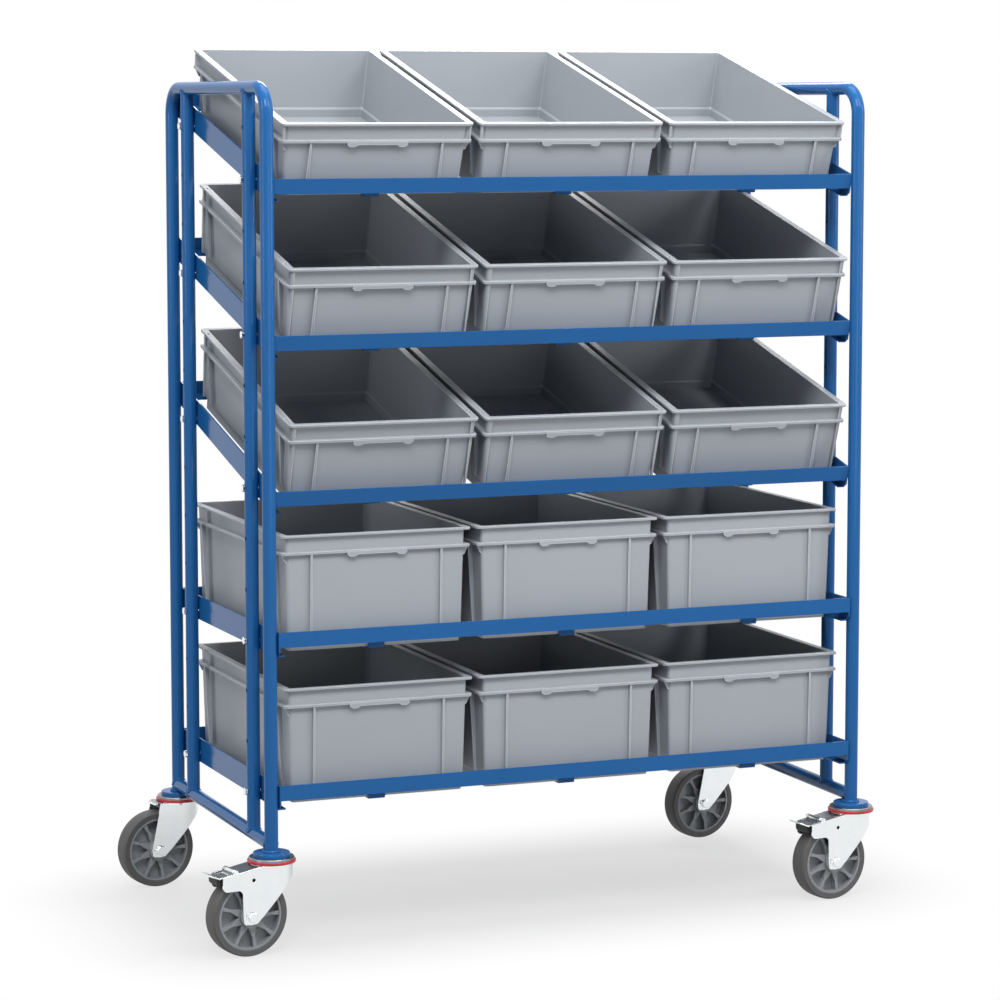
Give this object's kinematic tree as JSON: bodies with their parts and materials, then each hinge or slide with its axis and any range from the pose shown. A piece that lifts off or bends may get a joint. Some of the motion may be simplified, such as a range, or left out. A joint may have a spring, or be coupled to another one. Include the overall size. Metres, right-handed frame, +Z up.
{
  "type": "box trolley",
  "caption": "Blue tubular trolley on swivel castors with level and tilted bolted shelves that hold rows of grey open-topped stacking boxes.",
  "frame": {"origin": "middle of the bounding box on the floor under the tyres", "axes": "+X along the shelves to the right end frame as seen from the front, +Y from the front to the back, +Z up"},
  "size_m": [1.4562, 0.7268, 1.7553],
  "materials": {
    "frame_paint": "blue gloss powder coat",
    "box_plastic": "silver grey moulded polypropylene",
    "zinc": "bright zinc plate",
    "wheel_plastic": "grey moulded polyamide",
    "tyre": "dark grey rubber",
    "seal": "red moulded plastic",
    "bearing_steel": "ground steel",
    "brake_rubber": "black rubber"
  },
  "bodies": {
    "trolley_frame": {"bottom_rails": "frame_paint", "castor_plates": "frame_paint", "left_hoop": "frame_paint", "left_uprights": "frame_paint", "right_hoop": "frame_paint", "right_uprights": "frame_paint", "shelf_1_bearers": "frame_paint", "shelf_1_frame": "frame_paint", "shelf_2_bearers": "frame_paint", "shelf_2_frame": "frame_paint", "shelf_3_bearers": "frame_paint", "shelf_3_frame": "frame_paint", "shelf_4_bearers": "frame_paint", "shelf_4_frame": "frame_paint", "shelf_5_bearers": "frame_paint", "shelf_5_frame": "frame_paint", "shelf_bolts": "zinc", "castor_heads": "zinc", "swivel_seals": "seal"},
    "front_left_swivel": {"front_left_fork": "zinc", "front_left_axle": "zinc", "front_left_brake_pin": "zinc"},
    "front_left_wheel": {"front_left_wheel_centre": "wheel_plastic", "front_left_tyre": "tyre", "front_left_wheel_bearings": "bearing_steel"},
    "front_left_pedal": {"front_left_brake_pedal": "zinc", "front_left_brake_shoe": "brake_rubber"},
    "front_right_swivel": {"front_right_fork": "zinc", "front_right_axle": "zinc", "front_right_brake_pin": "zinc"},
    "front_right_wheel": {"front_right_wheel_centre": "wheel_plastic", "front_right_tyre": "tyre", "front_right_wheel_bearings": "bearing_steel"},
    "front_right_pedal": {"front_right_brake_pedal": "zinc", "front_right_brake_shoe": "brake_rubber"},
    "rear_left_swivel": {"rear_left_fork": "zinc", "rear_left_axle": "zinc"},
    "rear_left_wheel": {"rear_left_wheel_centre": "wheel_plastic", "rear_left_tyre": "tyre", "rear_left_wheel_bearings": "bearing_steel"},
    "rear_right_swivel": {"rear_right_fork": "zinc", "rear_right_axle": "zinc"},
    "rear_right_wheel": {"rear_right_wheel_centre": "wheel_plastic", "rear_right_tyre": "tyre", "rear_right_wheel_bearings": "bearing_steel"},
    "box_1_a_body": {"box_1_a": "box_plastic"},
    "box_1_b_body": {"box_1_b": "box_plastic"},
    "box_1_c_body": {"box_1_c": "box_plastic"},
    "box_2_a_body": {"box_2_a": "box_plastic"},
    "box_2_b_body": {"box_2_b": "box_plastic"},
    "box_2_c_body": {"box_2_c": "box_plastic"},
    "box_3_a_body": {"box_3_a": "box_plastic"},
    "box_3_b_body": {"box_3_b": "box_plastic"},
    "box_3_c_body": {"box_3_c": "box_plastic"},
    "box_4_a_body": {"box_4_a": "box_plastic"},
    "box_4_b_body": {"box_4_b": "box_plastic"},
    "box_4_c_body": {"box_4_c": "box_plastic"},
    "box_5_a_body": {"box_5_a": "box_plastic"},
    "box_5_b_body": {"box_5_b": "box_plastic"},
    "box_5_c_body": {"box_5_c": "box_plastic"}
  },
  "joints": [
    {"name": "front_left_swivel_turn", "type": "hinge", "parent": "trolley_frame", "child": "front_left_swivel", "pos_m": [-0.5854, -0.316, 0.18], "axis": [0, 0, 1], "continuous": true},
    {"name": "front_left_wheel_roll", "type": "hinge", "parent": "front_left_swivel", "child": "front_left_wheel", "pos_m": [-0.63987, -0.32366, 0.08], "axis": [-0.1392, 0.9903, 0], "continuous": true},
    {"name": "front_left_brake_press", "type": "hinge", "parent": "front_left_swivel", "child": "front_left_pedal", "pos_m": [-0.67354, -0.32839, 0.171], "axis": [0.1392, -0.9903, 0], "range_deg": [0, 14]},
    {"name": "front_right_swivel_turn", "type": "hinge", "parent": "trolley_frame", "child": "front_right_swivel", "pos_m": [0.68059, -0.316, 0.18], "axis": [0, 0, 1], "continuous": true},
    {"name": "front_right_wheel_roll", "type": "hinge", "parent": "front_right_swivel", "child": "front_right_wheel", "pos_m": [0.62613, -0.32366, 0.08], "axis": [-0.1392, 0.9903, 0], "continuous": true},
    {"name": "front_right_brake_press", "type": "hinge", "parent": "front_right_swivel", "child": "front_right_pedal", "pos_m": [0.59246, -0.32839, 0.171], "axis": [0.1392, -0.9903, 0], "range_deg": [0, 14]},
    {"name": "rear_left_swivel_turn", "type": "hinge", "parent": "trolley_frame", "child": "rear_left_swivel", "pos_m": [-0.5854, 0.316, 0.18], "axis": [0, 0, 1], "continuous": true},
    {"name": "rear_left_wheel_roll", "type": "hinge", "parent": "rear_left_swivel", "child": "rear_left_wheel", "pos_m": [-0.63987, 0.30834, 0.08], "axis": [-0.1392, 0.9903, 0], "continuous": true},
    {"name": "rear_right_swivel_turn", "type": "hinge", "parent": "trolley_frame", "child": "rear_right_swivel", "pos_m": [0.68059, 0.316, 0.18], "axis": [0, 0, 1], "continuous": true},
    {"name": "rear_right_wheel_roll", "type": "hinge", "parent": "rear_right_swivel", "child": "rear_right_wheel", "pos_m": [0.62613, 0.30834, 0.08], "axis": [-0.1392, 0.9903, 0], "continuous": true},
    {"name": "box_1_a_lift", "type": "slide", "parent": "trolley_frame", "child": "box_1_a_body", "axis": [0, -0.2521, 0.9677], "range_m": [0, 0.3]},
    {"name": "box_1_b_lift", "type": "slide", "parent": "trolley_frame", "child": "box_1_b_body", "axis": [0, -0.2521, 0.9677], "range_m": [0, 0.3]},
    {"name": "box_1_c_lift", "type": "slide", "parent": "trolley_frame", "child": "box_1_c_body", "axis": [0, -0.2521, 0.9677], "range_m": [0, 0.3]},
    {"name": "box_2_a_lift", "type": "slide", "parent": "trolley_frame", "child": "box_2_a_body", "axis": [0, -0.2521, 0.9677], "range_m": [0, 0.1]},
    {"name": "box_2_b_lift", "type": "slide", "parent": "trolley_frame", "child": "box_2_b_body", "axis": [0, -0.2521, 0.9677], "range_m": [0, 0.1]},
    {"name": "box_2_c_lift", "type": "slide", "parent": "trolley_frame", "child": "box_2_c_body", "axis": [0, -0.2521, 0.9677], "range_m": [0, 0.1]},
    {"name": "box_3_a_lift", "type": "slide", "parent": "trolley_frame", "child": "box_3_a_body", "axis": [0, -0.2521, 0.9677], "range_m": [0, 0.1]},
    {"name": "box_3_b_lift", "type": "slide", "parent": "trolley_frame", "child": "box_3_b_body", "axis": [0, -0.2521, 0.9677], "range_m": [0, 0.1]},
    {"name": "box_3_c_lift", "type": "slide", "parent": "trolley_frame", "child": "box_3_c_body", "axis": [0, -0.2521, 0.9677], "range_m": [0, 0.1]},
    {"name": "box_4_a_lift", "type": "slide", "parent": "trolley_frame", "child": "box_4_a_body", "axis": [0, 0, 1], "range_m": [0, 0.045]},
    {"name": "box_4_b_lift", "type": "slide", "parent": "trolley_frame", "child": "box_4_b_body", "axis": [0, 0, 1], "range_m": [0, 0.045]},
    {"name": "box_4_c_lift", "type": "slide", "parent": "trolley_frame", "child": "box_4_c_body", "axis": [0, 0, 1], "range_m": [0, 0.045]},
    {"name": "box_5_a_lift", "type": "slide", "parent": "trolley_frame", "child": "box_5_a_body", "axis": [0, 0, 1], "range_m": [0, 0.06]},
    {"name": "box_5_b_lift", "type": "slide", "parent": "trolley_frame", "child": "box_5_b_body", "axis": [0, 0, 1], "range_m": [0, 0.06]},
    {"name": "box_5_c_lift", "type": "slide", "parent": "trolley_frame", "child": "box_5_c_body", "axis": [0, 0, 1], "range_m": [0, 0.06]}
  ]
}
